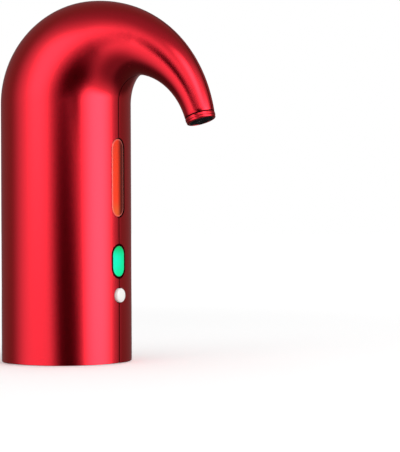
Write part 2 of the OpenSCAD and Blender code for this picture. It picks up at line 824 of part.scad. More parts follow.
// Upper plate of the pump, with a collar round the motor's round sides and the chamber's spigot
module motor_mount() color(white) difference() {
    union() {
        translate([0, 0, mount_z]) linear_extrude(plate_t) difference() {
            union() {
                pump_outline();
                translate([mesh_x, motor_y]) motor_outline(fit + collar_t);
            }
            screw_holes();
        }
        translate([mesh_x, motor_y, motor_z]) linear_extrude(collar_h) difference() {
            intersection() {
                circle(motor_d / 2 + fit + collar_t);
                square([motor_flat, 2 * motor_d], center = true);
            }
            motor_outline(fit);
        }
        translate([chamber_x, 0, motor_z]) cylinder(r = spigot_r, h = spigot_h);
    }
    translate([chamber_x, 0, mount_z - over]) cylinder(r = channel_w / 2, h = plate_t + spigot_h + 2 * over);
    translate([chamber_x, 0, motor_z + spigot_h - 2 - ring_t])
        tube_between(spigot_r + over, spigot_r - ring_t, 0, ring_t + 2 * fit);
    translate([mesh_x, motor_y, mount_z - over]) cylinder(r = shaft_r + run, h = plate_t + 2 * over);
    translate([mesh_x, motor_y, motor_z - seal_t - fit])
        cylinder(r = seal_r + fit / 2, h = seal_t + fit + over);
    translate([mesh_x, pitch_r, mount_z - over]) cylinder(r = shaft_r, h = bush_depth + over);
}

module gear_shape(bore) {
    steps = 5;
    radii = [for (i = [0:steps]) gear_root + (gear_tip - gear_root) * i / steps];
    difference() {
        polygon([
            for (k = [0:gear_teeth - 1], side = [-1, 1], i = [0:steps])
            let (r = radii[side < 0 ? i : steps - i], a = 360 * k / gear_teeth + side * flank(r))
            r * [cos(a), sin(a)]
        ]);
        circle(bore);
    }
}

module drive_gear() color(white) translate([mesh_x, motor_y, case_z + side_play]) rotate(90)
    linear_extrude(gear_w) gear_shape(shaft_r);

module idler_gear() color(white) translate([mesh_x, pitch_r, case_z + side_play])
    rotate(-90 + 180 / gear_teeth) linear_extrude(gear_w) gear_shape(shaft_r + run);

module idler_pin() color(steel) translate([mesh_x, pitch_r, case_z - bush_depth])
    cylinder(r = shaft_r, h = case_h + 2 * bush_depth);

module shaft_seal() color(soft) translate([mesh_x, motor_y, motor_z - seal_t])
    tube_between(seal_r, shaft_r + run, 0, seal_t);

module pump_screws() color(steel) at_ears() {
    translate([0, 0, pump_z - screw_bite + 0.5])
        cylinder(r = pump_screw_r, h = motor_z - pump_z + screw_bite - 0.5);
    translate([0, 0, motor_z]) cylinder(r = head_r, h = head_t);
}

// Motor

module at_motor() {
    translate([mesh_x, motor_y, motor_z]) children();
}

module motor_can() color(steel) at_motor() difference() {
    linear_extrude(can_h) motor_outline(0);
    translate([0, 0, can_t]) linear_extrude(can_h) motor_outline(-can_t);
    translate([0, 0, -over]) cylinder(r = shaft_r + run, h = can_t + 2 * over);
}

module motor_magnets() color(black) at_motor() translate([0, 0, magnet_z]) linear_extrude(magnet_h)
    difference() {
        motor_outline(-can_t - run);
        circle(stack_r + magnet_gap);
        square([2 * motor_d, stack_r * 0.9], center = true);
    }

// Three-pole stack with its windings, and the commutator above
module motor_armature() color(copper) at_motor() difference() {
    union() {
        translate([0, 0, stack_z]) linear_extrude(stack_h) difference() {
            circle(stack_r);
            for (a = [60:120:300])
                rotate(a) translate([stack_r * 0.55, -slot_w / 2]) square([stack_r, slot_w]);
        }
        translate([0, 0, stack_z + stack_h]) cylinder(r = commutator_r, h = commutator_h);
    }
    translate([0, 0, -over]) cylinder(r = shaft_r, h = can_h + 2 * over);
}

module motor_shaft() color(steel) translate([mesh_x, motor_y, case_z - bush_depth + 0.2])
    cylinder(r = shaft_r, h = motor_z - case_z + bush_depth - 0.2 + can_h + 1.4);

module motor_end_bell() color(white) at_motor() difference() {
    union() {
        translate([0, 0, can_h]) linear_extrude(motor_l - can_h) motor_outline(0);
        translate([0, 0, can_h - bell_rim_h]) linear_extrude(bell_rim_h) difference() {
            motor_outline(-can_t - fit);
            motor_outline(-can_t - fit - bell_rim_t);
        }
    }
    translate([0, 0, can_h - over]) cylinder(r = shaft_r + run, h = bell_rim_h + over);
}

module motor_terminals() color(brass) at_motor()
    for (s = [-1, 1])
        translate([s * motor_lead_y, terminal_y, motor_l + terminal_h / 2])
            cube([terminal_w, terminal_w, terminal_h], center = true);

// Aeration chamber

module aeration_chamber() color(clear, 0.5) translate([chamber_x, 0, 0]) difference() {
    translate([0, 0, chamber_z]) cylinder(r = chamber_r, h = chamber_top - chamber_z);
    translate([0, 0, chamber_z - over]) cylinder(r = spigot_r + fit / 2, h = spigot_h + over);
    translate([0, 0, chamber_z]) cylinder(r = channel_w / 2, h = chamber_top - chamber_z);
    translate([0, 0, chamber_floor]) cylinder(r = chamber_r - chamber_t, h = chamber_top);
    translate([0, -chamber_r, chamber_floor + 2]) rotate([90, 0, 0])
        cylinder(r = 0.5, h = 2 * chamber_t + over, center = true);
}

module chamber_cap() color(clear, 0.5) translate([chamber_x, 0, 0]) rotate_extrude() polygon([
    [tail_bore, chamber_top - cap_plug], [chamber_r - chamber_t - fit / 2, chamber_top - cap_plug],
    [chamber_r - chamber_t - fit / 2, chamber_top], [chamber_r, chamber_top],
    [chamber_r, chamber_top + cap_t],
    [tail_r, chamber_top + cap_t], [tail_r, chamber_top + cap_t + tail_l],
    [tail_bore, chamber_top + cap_t + tail_l]
]);

// Stem with perforated plates that break up the stream
module mixing_insert() color(white) translate([chamber_x, 0, chamber_floor]) {
    height = chamber_top - cap_plug - chamber_floor - fit;
    pitch = height / mixer_plates;
    translate([0, 0, pitch / 2]) cylinder(r = 0.8, h = height - pitch / 2);
    for (k = [0:mixer_plates - 1])
        translate([0, 0, pitch * (k + 0.5)]) linear_extrude(0.8) difference() {
            circle(mixer_r);
            for (a = [0:60:300])
                rotate(a + 30 * k) translate([mixer_r * 0.62, 0]) circle(0.8);
        }
    for (s = [-1, 1])
        translate([s * (mixer_r - 0.5) - 0.4, -0.4, 0]) cube([0.8, 0.8, pitch / 2]);
}

module chamber_seal() color(soft) translate([chamber_x, 0, motor_z + spigot_h - 2 - ring_t / 2 + fit])
    rotate_extrude() translate([spigot_r + run - ring_t / 2, 0]) circle(d = ring_t);

module delivery_hose() color(clear) {
    n = len(hose_path);
    m = hose_sides;
    outer = flat([for (i = [0:n - 1]) hose_ring(hose_path, i, hose_r)]);
    bore = flat([for (i = [0:n - 1]) hose_ring(hose_path, i, hose_bore_r)]);
    walls = skin(n, m);
    bore_walls = [for (f = walls) [f[2] + n * m, f[1] + n * m, f[0] + n * m]];
    ends = [for (k = [0:m - 1]) let (j = (k + 1) % m, e = (n - 1) * m, b = n * m)
        each [[k, j, b + j], [k, b + j, b + k], [e + j, e + k, b + e + k], [e + j, b + e + k, b + e + j]]];
    polyhedron(concat(outer, bore), concat(walls, bore_walls, ends));
}

// Battery and charging

module battery_cell() color(blue) translate([cell_x, 0, cell_z]) cylinder(r = cell_r, h = cell_l);

module battery_tabs() color(steel) translate([cell_x, 0, 0])
    for (z = [cell_z - tab_t, cell_top])
        translate([0, 0, z]) cylinder(r = tab_r, h = tab_t);

module charge_board() color(board_green)
    box_x(charge_back, charge_front, charge_w, charge_z, charge_z + board_t);

// Round-ended metal shell of the charging socket, with the contact tongue inside
module usb_socket() color(steel) translate([0, 0, usb_z]) {
    back = usb_face + usb_l - usb_back;
    rotate([90, 0, 0]) difference() {
        long_hole(usb_h, usb_w, usb_face, usb_face + usb_l);
        long_hole(usb_h - 2 * usb_sheet, usb_w - 2 * usb_sheet, usb_face - over, back);
    }
    box_x(usb_face + usb_back, back + usb_back / 2, usb_tongue_w, -usb_sheet, usb_sheet);
}

module battery_leads() {
    color("crimson") wire(plus_route);
    color("black") wire(minus_route);
}

module motor_leads() {
    color("crimson") wire(motor_route(1));
    color("black") wire(motor_route(-1));
}

module charge_leads() {
    color("crimson") wire(charge_route(1));
    color("black") wire(charge_route(-1));
}

left_shell();
right_shell();
nozzle_tip();
drip_ring();
window_lens();
status_lens();
power_button();
switch_plunger();
tact_switch();
main_board();
status_leds();
board_parts();
bottle_socket();
neck_cuff();
mouth_gasket();
inlet_spigot();
spigot_nut();
base_screws();
suction_hose();
pump_base();
gear_case();
motor_mount();
drive_gear();
idler_gear();
idler_pin();
shaft_seal();
pump_screws();
motor_can();
motor_magnets();
motor_armature();
motor_shaft();
motor_end_bell();
motor_terminals();
aeration_chamber();
chamber_cap();
mixing_insert();
chamber_seal();
delivery_hose();
battery_cell();
battery_tabs();
charge_board();
usb_socket();
battery_leads();
motor_leads();
charge_leads();
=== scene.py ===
"""Electric wine aerator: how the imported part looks."""

import math

import bmesh
import bpy
from mathutils import Matrix, Vector


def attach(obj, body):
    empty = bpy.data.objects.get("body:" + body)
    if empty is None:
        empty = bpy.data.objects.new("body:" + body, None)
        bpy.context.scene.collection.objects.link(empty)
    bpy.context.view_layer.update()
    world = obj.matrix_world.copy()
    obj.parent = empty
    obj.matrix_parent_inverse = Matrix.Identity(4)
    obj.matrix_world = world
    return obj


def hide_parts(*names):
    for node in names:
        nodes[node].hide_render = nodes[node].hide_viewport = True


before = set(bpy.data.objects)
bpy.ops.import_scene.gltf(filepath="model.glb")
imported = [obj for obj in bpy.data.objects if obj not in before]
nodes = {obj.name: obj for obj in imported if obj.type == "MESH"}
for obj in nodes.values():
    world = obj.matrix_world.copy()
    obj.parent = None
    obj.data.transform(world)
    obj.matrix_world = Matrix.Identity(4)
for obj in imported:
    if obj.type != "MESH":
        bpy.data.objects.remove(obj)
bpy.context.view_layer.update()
scene = bpy.context.scene

MM = 0.001
TURN = 2 * math.pi

# Settings that many nodes share
SMOOTH = {"interpolation_type": "SMOOTHSTEP"}
BLEND = {"data_type": "RGBA", "out": 2}

# ---------------------------------------------------------------- sizes, in mm and degrees
BODY_R = 30
BODY_H = 118.3
BODY_WALL = 2.06
FOOT_ROUND = 0.3
HOOK_WALL = 2.14
HOOK_RISE = 46.5
THROAT_R = 11.5
THROAT_TURN = 102
ARCH_R = 31.4
SPOUT_R = 6.7
SPOUT_TILT = 18
TURN_END = 180 - SPOUT_TILT
SPIGOT_R = 4.75
SPIGOT_DEEP = 5.1
SPIGOT_TURN = 152
SEAM_HALF = 0.005
SEAM_ROUND = 0.27

# Width, height and level on the body
WINDOW = (9, 35.4, 83.9)
LIGHT = (10.2, 15.7, 46.1)
PORT = (9.2, 3.4, 14)
WINDOW_SET = 0.3
LIGHT_SET = 0.1
LENS_CORE = 0.02
LENS_SEAT = 27.93
LENS_BACK = 26.7
LENS_FLANGE = 1.2
BUTTON_Z = 30.7
BUTTON_R = 3.2
BUTTON_TOP = 31.7
BUTTON_BULGE = 14.0

# How fine the meshes are: round a ring, up the body, along the hook and over a rounded edge
SEGMENTS = 128
BODY_STEPS = 18
HOOK_STEP = 2
QUARTER = [math.radians(15 * n) for n in range(1, 7)]


# ---------------------------------------------------------------- materials


def linear(code):
    """Linear colour of an sRGB hex code."""
    parts = [int(code[i : i + 2], 16) / 255 for i in (1, 3, 5)]
    return [*(c / 12.92 if c <= 0.04045 else ((c + 0.055) / 1.055) ** 2.4 for c in parts), 1.0]


def add(tree, kind, inputs=None, out=0, **settings):
    """Adds a node with its settings, sets or links its inputs, and returns one output."""
    made = tree.nodes.new(kind)
    for name, value in settings.items():
        setattr(made, name, value)
    for name, value in (inputs or {}).items():
        if isinstance(value, bpy.types.NodeSocket):
            tree.links.new(value, made.inputs[name])
        else:
            made.inputs[name].default_value = value
    return made.outputs[out] if made.outputs else None


def material(name):
    """An empty material and its node tree."""
    made = bpy.data.materials.new(name)
    made.use_nodes = True
    made.node_tree.nodes.clear()
    return made, made.node_tree


def surface(name, colour, grain_mm, spread, rough, relief_mm, **values):
    """A surface whose colour, gloss and relief follow one grain of a real size."""
    made, tree = material(name)
    where = add(tree, "ShaderNodeTexCoord", out="Object")
    scale = 1 / (grain_mm * MM)
    grain = add(tree, "ShaderNodeTexNoise", {"Vector": where, "Scale": scale, "Detail": 3.0})
    band = {"Value": grain, "From Min": 0.3, "From Max": 0.7}
    shade = add(tree, "ShaderNodeMapRange", {**band, "To Min": 1 - spread, "To Max": 1 + spread})
    gloss = add(
        tree,
        "ShaderNodeMapRange",
        {**band, "To Min": 0.85 * rough, "To Max": 1.15 * rough},
    )
    tint = add(
        tree,
        "ShaderNodeVectorMath",
        {0: linear(colour)[:3], "Scale": shade},
        operation="SCALE",
    )
    relief = add(tree, "ShaderNodeBump", {"Height": grain, "Distance": relief_mm * MM})
    skin = add(
        tree,
        "ShaderNodeBsdfPrincipled",
        {"Base Color": tint, "Roughness": gloss, "Normal": relief, **values},
    )
    add(tree, "ShaderNodeOutputMaterial", {"Surface": skin})
    return made


# Metallic red lacquer, sprayed and clear-coated: deep where it mirrors the dark, bright scarlet
# where it mirrors the white. Its flakes, really about 0.05 mm, are drawn five times as coarse.
FLAKE_MM = 0.25
lacquer, tree = material("metallic_red_lacquer")
where = add(tree, "ShaderNodeTexCoord", out="Object")
flakes = add(
    tree,
    "ShaderNodeTexVoronoi",
    {"Vector": where, "Scale": 1 / (FLAKE_MM * MM)},
    "Color",
)
glint = add(tree, "ShaderNodeMapRange", {"Value": flakes, "To Min": 0.19, "To Max": 0.22})
shade = add(
    tree,
    "ShaderNodeMix",
    {0: flakes, 6: linear("#f80628"), 7: linear("#ff082c")},
    **BLEND,
)
skin = add(
    tree,
    "ShaderNodeBsdfPrincipled",
    {
        "Base Color": shade,
        "Metallic": 1.0,
        "Roughness": glint,
        "Coat Weight": 0.7,
        "Specular Tint": linear("#ff7878"),
        "Coat Roughness": 0.16,
        "Coat IOR": 1.5,
    },
)
add(tree, "ShaderNodeOutputMaterial", {"Surface": skin})

# Amber acrylic over the chamber, moulded and polished. Its orange-red glow, paler at the foot, is
# painted light in place of the chamber's lamp; a painted shade darkens the side that lamp doesn't
# reach, and a painted highlight makes its edge paler
RIPPLE_MM = 6
amber, tree = material("amber_acrylic")
where = add(tree, "ShaderNodeTexCoord", out="Object")
_, y, z = add(tree, "ShaderNodeSeparateXYZ", {"Vector": where}).node.outputs
straight = (WINDOW[1] - WINDOW[0]) / 2
above = add(tree, "ShaderNodeMath", {0: z, 1: WINDOW[2] * MM}, operation="SUBTRACT")
end = add(tree, "ShaderNodeMath", {0: above}, operation="ABSOLUTE")
end = add(tree, "ShaderNodeMath", {0: end, 1: straight * MM}, operation="SUBTRACT")
end = add(tree, "ShaderNodeMath", {0: end, 1: 0.0}, operation="MAXIMUM")
out = add(tree, "ShaderNodeCombineXYZ", {"X": y, "Y": end})
out = add(tree, "ShaderNodeVectorMath", {0: out}, "Value", operation="LENGTH")
edge_highlight_mask, foot, shadow = (
    add(
        tree,
        "ShaderNodeMapRange",
        {"Value": value, "From Min": first * MM, "From Max": last * MM},
        **SMOOTH,
    )
    for value, first, last in ((out, 3.5, 4.3), (above, -18, -9), (y, -1.4, 2.3))
)
tint = add(tree, "ShaderNodeMix", {0: foot, 6: linear("#d0561e"), 7: linear("#e4340c")}, **BLEND)
# Painted shade darkens the side away from the chamber's lamp; a painted highlight lightens the
# edge, its tone changing on that shaded side
tint = add(tree, "ShaderNodeMix", {0: shadow, 6: tint, 7: linear("#520a00")}, **BLEND)
painted_edge_highlight = add(tree, "ShaderNodeMix", {0: shadow, 6: linear("#ec5a48"), 7: linear("#d4685c")}, **BLEND)
tint = add(tree, "ShaderNodeMix", {0: edge_highlight_mask, 6: tint, 7: painted_edge_highlight}, **BLEND)
ripple = add(tree, "ShaderNodeTexNoise", {"Vector": where, "Scale": 1 / (RIPPLE_MM * MM)})
relief = add(tree, "ShaderNodeBump", {"Height": ripple, "Distance": 0.02 * MM})
skin = add(
    tree,
    "ShaderNodeBsdfPrincipled",
    {
        "Base Color": tint,
        "Roughness": 0.12,
        "Normal": relief,
        "IOR": 1.49,
        # Painted glow: the lens gives off light of its own, in place of the chamber's lamp
        "Emission Color": tint,
        "Emission Strength": 0.3,
    },
)
add(tree, "ShaderNodeOutputMaterial", {"Surface": skin})

# Translucent green acrylic over the status lamps: a painted glow in place of the lamps' light,
# brightest round the lamps, deeper at the head
LAMPS_AT = (29.9 * MM, -3 * MM, LIGHT[2] * MM)
green, tree = material("glowing_green_acrylic")
where = add(tree, "ShaderNodeTexCoord", out="Object")
height = add(tree, "ShaderNodeSeparateXYZ", {"Vector": where}, "Z")
head = add(
    tree,
    "ShaderNodeMapRange",
    {"Value": height, "From Min": (LIGHT[2] + 2) * MM, "From Max": (LIGHT[2] + 8) * MM},
    **SMOOTH,
)
spot = add(tree, "ShaderNodeVectorMath", {0: where, 1: LAMPS_AT}, "Value", operation="DISTANCE")
painted_lamp_glow = add(
    tree,
    "ShaderNodeMapRange",
    {"Value": spot, "From Min": 8 * MM, "From Max": 1 * MM},
    **SMOOTH,
)
tint = add(tree, "ShaderNodeMix", {0: painted_lamp_glow, 6: linear("#00d488"), 7: linear("#00e0b0")}, **BLEND)
tint = add(tree, "ShaderNodeMix", {0: head, 6: tint, 7: linear("#06aa58")}, **BLEND)
skin = add(
    tree,
    "ShaderNodeBsdfPrincipled",
    {
        "Base Color": tint,
        "Roughness": 0.15,
        "Specular IOR Level": 0.25,
        # Painted glow: the lens gives off light of its own, in place of the lamps behind it
        "Emission Color": tint,
        "Emission Strength": 0.25,
    },
)
add(tree, "ShaderNodeOutputMaterial", {"Surface": skin})

# Dark moulded ABS, unpainted, as inside the shells and on the hole walls; it is also laid as
# painted shade on the seam's rounded edges, the holes' lips, the nozzle's groove and the lenses'
# sides. Dull, so that joints and hole walls read as dark lines
dark_abs_and_painted_shade = surface(
    "dark_moulded_abs_and_painted_shade", "#260405", 0.4, 0.08, 0.8, 0.01, **{"Specular IOR Level": 0.0}
)

looks = {
    "red_lacquer": lacquer,
    "amber_window": amber,
    "green_light": green,
    # White ABS, moulded and polished: clean, with a soft highlight
    "white_plastic": surface("white_polished_abs", "#f2f1ee", 3, 0.01, 0.22, 0.004),
    # Dark grey silicone, moulded satin: soft and a little dusty
    "grey_silicone": surface(
        "dark_grey_silicone", "#141416", 0.4, 0.07, 0.6, 0.01, **{"Specular IOR Level": 0.1}
    ),
    # Food-grade silicone, extruded: milky, with a dull shine
    "clear_silicone": surface(
        "milky_silicone",
        "#e0e5e8",
        2,
        0.03,
        0.35,
        0.01,
        **{"Transmission Weight": 0.4, "IOR": 1.41},
    ),
    # Black nylon, moulded with a fine spark texture
    "black_plastic": surface("black_moulded_nylon", "#1d1d1f", 0.3, 0.08, 0.48, 0.015),
    # Clear polycarbonate, moulded: mostly see-through, with a cool edge
    "clear_plastic": surface(
        "clear_polycarbonate",
        "#e6eef2",
        2,
        0.02,
        0.08,
        0.004,
        **{"Transmission Weight": 0.8, "IOR": 1.58},
    ),
    # Solder mask on glass fibre: its weave shows as a faint mottle
    "circuit_board": surface("green_solder_mask", "#0d4a2a", 0.5, 0.12, 0.38, 0.01),
    # White lamp package with a yellow phosphor cast
    "led_white": surface("white_lamp_package", "#f2f1e2", 0.5, 0.03, 0.3, 0.004),
    # Plated steel sheet, rolled: a fine mottle in the shine
    "steel": surface("plated_steel", "#b8babd", 0.2, 0.06, 0.3, 0.004, Metallic=1.0),
    # Sintered ferrite: dark, grainy and dull
    "magnet": surface("sintered_ferrite", "#2a2a2c", 0.2, 0.12, 0.6, 0.01),
    # Enamelled copper wire, wound: warm, with darker and lighter spots
    "copper": surface("enamelled_copper", "#b5673a", 0.3, 0.15, 0.35, 0.03, Metallic=1.0),
    # Brass strip, stamped: plain, with a soft shine
    "brass": surface("stamped_brass", "#cda751", 0.3, 0.06, 0.3, 0.004, Metallic=1.0),
    # Shrunk film over the cell: smooth, with slow waves
    "cell_wrap": surface("blue_shrink_film", "#2f5796", 4, 0.03, 0.28, 0.03),
    # Wire jacket, extruded PVC: even, with a dull shine
    "wire": surface("red_pvc_jacket", "#8e1418", 0.5, 0.05, 0.42, 0.006),
}
for node in nodes.values():
    for held in node.material_slots:
        held.material = looks[held.material.name.split(".")[0]]


# ---------------------------------------------------------------- making pieces
pieces = []


def mesh_object(name, bm, *finish):
    """Closes a mesh, turns its faces outwards and gives it its finishes in order."""
    bmesh.ops.remove_doubles(bm, verts=bm.verts, dist=1e-7)
    bmesh.ops.recalc_face_normals(bm, faces=bm.faces)
    mesh = bpy.data.meshes.new(name)
    bm.to_mesh(mesh)
    bm.free()
    for each in finish:
        mesh.materials.append(each)
    made = bpy.data.objects.new(name, mesh)
    scene.collection.objects.link(made)
    return made


def piece(made, stands_for, body="housing"):
    """Shades a finished object, and has it stand for a CAD node and ride on its body."""
    made.data.shade_smooth()
    made.data.set_sharp_from_angle(angle=math.radians(35))
    even = made.modifiers.new("even", "WEIGHTED_NORMAL")
    even.keep_sharp = True
    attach(made, body)
    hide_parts(stands_for)
    pieces.append(made)


def ring_place(centre, across, radius):
    """Where a unit circle lies: its X along `across` in the XZ plane, its Y along Y."""
    u, v = Vector((across[0], 0, across[1])), Vector((0, 1, 0))
    turn = Matrix((u, v, u.cross(v))).transposed().to_4x4()
    at = Matrix.Translation(Vector((centre[0], 0, centre[1])) * MM)
    return at @ turn @ Matrix.Scale(radius * MM, 4)


def pull(bm, edges):
    """Extrudes a loop of edges, and returns the new vertices, edges and faces."""
    geom = bmesh.ops.extrude_edge_only(bm, edges=edges)["geom"]
    verts = [g for g in geom if isinstance(g, bmesh.types.BMVert)]
    new = set(verts)
    edges = [g for g in geom if isinstance(g, bmesh.types.BMEdge) and new.issuperset(g.verts)]
    return verts, edges, [g for g in geom if isinstance(g, bmesh.types.BMFace)]


def swept(outside, inside):
    """A hollow skin pulled through rings of (centre, direction across, radius), dark inside."""
    bm = bmesh.new()
    last = ring_place(*outside[0])
    bmesh.ops.create_circle(bm, segments=SEGMENTS, radius=1, matrix=last)
    start = edges = list(bm.edges)
    for number, ring in enumerate([*outside[1:], *inside]):
        place = ring_place(*ring)
        verts, edges, faces = pull(bm, edges)
        bmesh.ops.transform(bm, matrix=place @ last.inverted(), verts=verts)
        for face in faces:
            face.material_index = int(number >= len(outside) - 1)
        last = place
    for face in bmesh.ops.bridge_loops(bm, edges=[*start, *edges])["faces"]:
        face.material_index = 0
    return bm


def spun(profile, place, steps=96):
    """A closed profile of (radius, height) turned round the Z axis of a placing matrix."""
    bm = bmesh.new()
    verts = [bm.verts.new((r * MM, 0, z * MM)) for r, z in profile]
    for a, b in zip(verts, verts[1:] + verts[:1]):
        bm.edges.new((a, b))
    bmesh.ops.spin(
        bm,
        geom=[*bm.verts, *bm.edges],
        axis=(0, 0, 1),
        cent=(0, 0, 0),
        angle=TURN,
        steps=steps,
        use_merge=True,
    )
    bmesh.ops.transform(bm, matrix=place, verts=bm.verts)
    return bm


def bent_pill(size, loops, dark, steps=96):
    """A closed round-ended shape bent to the body, through loops of (offset, radius)."""
    width, height, level = size
    reach = min(width, height) / 2
    side, rise = max(width - height, 0) / 2, max(height - width, 0) / 2
    bm = bmesh.new()
    bmesh.ops.create_circle(bm, segments=steps, radius=1)
    ends = list(bm.verts)
    turns = [math.atan2(v.co.y, v.co.x) for v in ends]
    start = edges = list(bm.edges)
    for number, (offset, radius) in enumerate(loops):
        if number:
            verts, edges, faces = pull(bm, edges)
            new = set(verts)
            ends = [
                next(e.other_vert(v) for e in v.link_edges if e.other_vert(v) in new) for v in ends
            ]
            for face in faces:
                face.material_index = int(number in dark)
        for v, turn in zip(ends, turns):
            c, s = math.cos(turn), math.sin(turn)
            y = (reach + offset) * c + math.copysign(side, c)
            z = (reach + offset) * s + math.copysign(rise, s)
            depth = math.copysign(math.sqrt(radius * radius - y * y), radius)
            v.co = Vector((depth, y, level + z)) * MM
    bmesh.ops.holes_fill(bm, edges=[*start, *edges])
    return bm


def arc(centre, radius, first, last, steps):
    """Points of an arc in (radius, height), in degrees."""
    turns = [math.radians(first + (last - first) * n / steps) for n in range(steps + 1)]
    return [(centre[0] + radius * math.cos(t), centre[1] + radius * math.sin(t)) for t in turns]


# ---------------------------------------------------------------- housing


def ray(turn):
    """The direction at a turn along the hook, from the body side over the top."""
    a = math.radians(turn)
    return Vector((-math.cos(a), math.sin(a)))


# Centres of the guide curves in (x, z): throat and arch inside, crown and front outside
throat = Vector((BODY_R + THROAT_R, BODY_H))
arch = throat - (ARCH_R - THROAT_R) * ray(THROAT_TURN)
crown = Vector((HOOK_RISE - BODY_R, BODY_H))
spout_end = arch + (ARCH_R + 2 * SPOUT_R) * ray(TURN_END)
fall = BODY_H + HOOK_RISE - spout_end.y
run = spout_end.x - crown.x
front_r = (run * run + fall * fall) / (2 * fall)
front = Vector((crown.x, BODY_H + HOOK_RISE - front_r))
tip = arch + (ARCH_R + SPOUT_R) * ray(TURN_END)
spout_way = ray(TURN_END + 90)


def beyond(start, way, centre, radius):
    """Where a ray leaves a circle."""
    off = start - centre
    half = off.dot(way)
    return start + way * (-half + math.sqrt(half * half - off.dot(off) + radius * radius))


def hook_ring(turn, wall=0.0):
    """The hook's ring at a turn, between its inner and its outer guide curve."""
    guide, reach = (throat, THROAT_R) if turn <= THROAT_TURN else (arch, ARCH_R)
    inner, outer = guide + reach * ray(turn), beyond(guide, ray(turn), crown, HOOK_RISE)
    if outer.x > crown.x:
        outer = beyond(guide, ray(turn), front, front_r)
    return (inner + outer) / 2, ray(turn), (outer - inner).length / 2 - wall


def body_ring(height, radius):
    """A level ring of the body."""
    return Vector((0, height)), Vector((-1, 0)), radius


def tip_ring(back, radius):
    """A ring of the spout, back from its end."""
    return tip - back * spout_way, ray(TURN_END), radius


foot_edge = arc((BODY_R - FOOT_ROUND, FOOT_ROUND), FOOT_ROUND, -90, 0, 4)
outside = [body_ring(z, r) for r, z in foot_edge]
outside += [body_ring(BODY_H * n / BODY_STEPS, BODY_R) for n in range(1, BODY_STEPS + 1)]
outside += [hook_ring(HOOK_STEP * n) for n in range(1, TURN_END // HOOK_STEP)]
outside += [tip_ring(back, SPOUT_R - less) for back, less in ((0.15, 0), (0.05, 0.05), (0, 0.15))]
inside = [tip_ring(0, SPIGOT_R), tip_ring(SPIGOT_DEEP, SPIGOT_R)]
inside += [hook_ring(HOOK_STEP * n, HOOK_WALL) for n in range(SPIGOT_TURN // HOOK_STEP, 0, -1)]
inside += [
    body_ring(BODY_H * n / BODY_STEPS, BODY_R - BODY_WALL) for n in range(BODY_STEPS, -1, -1)
]


def hole_cutter(size, gap, lip, way=1):
    """A hole's cutter: straight through the wall, with a lip rounded to the outside."""
    deep, proud = 8, 1
    loops = [(gap, BODY_R - deep), (gap, BODY_R - lip)]
    for t in QUARTER:
        loops.append((gap + lip * (1 - math.cos(t)), BODY_R - lip * (1 - math.sin(t))))
    loops.append((gap + lip, BODY_R + proud))
    bent = [(offset, way * radius) for offset, radius in loops]
    # All the hole's faces take the dark ABS: unpainted walls, with painted shade on the rounded lip
    return bent_pill(size, bent, range(len(bent)))


def joined(name, parts):
    """One object of separate solids."""
    whole = bmesh.new()
    for bm in parts:
        bmesh.ops.recalc_face_normals(bm, faces=bm.faces)
        part = bpy.data.meshes.new("part")
        bm.to_mesh(part)
        bm.free()
        whole.from_mesh(part)
        bpy.data.meshes.remove(part)
    return mesh_object(name, whole, lacquer, dark_abs_and_painted_shade)


def cut(made, tool):
    """Takes a tool's shape out of an object's mesh, exactly."""
    knife = made.modifiers.new("cut", "BOOLEAN")
    knife.operation, knife.solver, knife.object = "DIFFERENCE", "EXACT", tool
    ready = made.evaluated_get(bpy.context.evaluated_depsgraph_get())
    mesh = bpy.data.meshes.new_from_object(ready)
    made.modifiers.clear()
    made.data = mesh


holes = joined(
    "holes",
    [
        hole_cutter(WINDOW, gap=0.2, lip=0.2),
        hole_cutter(LIGHT, gap=0.05, lip=0.1),
        hole_cutter((2 * BUTTON_R, 2 * BUTTON_R, BUTTON_Z), gap=0.12, lip=0.25),
        hole_cutter(PORT, gap=0, lip=0.3, way=-1),
    ],
)
for side, name in ((1, "left_shell"), (-1, "right_shell")):
    bm = swept(outside, inside)
    bmesh.ops.recalc_face_normals(bm, faces=bm.faces)
    bmesh.ops.bisect_plane(
        bm,
        geom=[*bm.verts, *bm.edges, *bm.faces],
        dist=1e-9,
        plane_co=(0, side * SEAM_HALF * MM, 0),
        plane_no=(0, side, 0),
        clear_inner=True,
    )
    cut_edges = [e for e in bm.edges if e.is_boundary]
    outer_edges = [e for e in cut_edges if e.link_faces[0].material_index == 0]
    walls = set(bm.faces)
    bmesh.ops.holes_fill(bm, edges=cut_edges)
    for face in bm.faces:
        if face not in walls:
            face.material_index = 1
    rounded = bmesh.ops.bevel(
        bm,
        geom=outer_edges,
        offset=SEAM_ROUND * MM,
        offset_type="OFFSET",
        affect="EDGES",
        segments=2,
        profile=0.5,
        material=-1,
        clamp_overlap=False,
    )
    # The seam's rounded outer edges take the dark ABS: painted shade along the joint
    for face in rounded["faces"]:
        face.material_index = 1
    shell = mesh_object(name + "_skin", bm, lacquer, dark_abs_and_painted_shade)
    cut(shell, holes)
    piece(shell, name)
bpy.data.objects.remove(holes)

# ---------------------------------------------------------------- nozzle, window, light and button
tilt = Matrix.Rotation(math.radians(-SPOUT_TILT), 4, "Y")
at_tip = Matrix.Translation((tip.x * MM, 0, tip.y * MM)) @ tilt

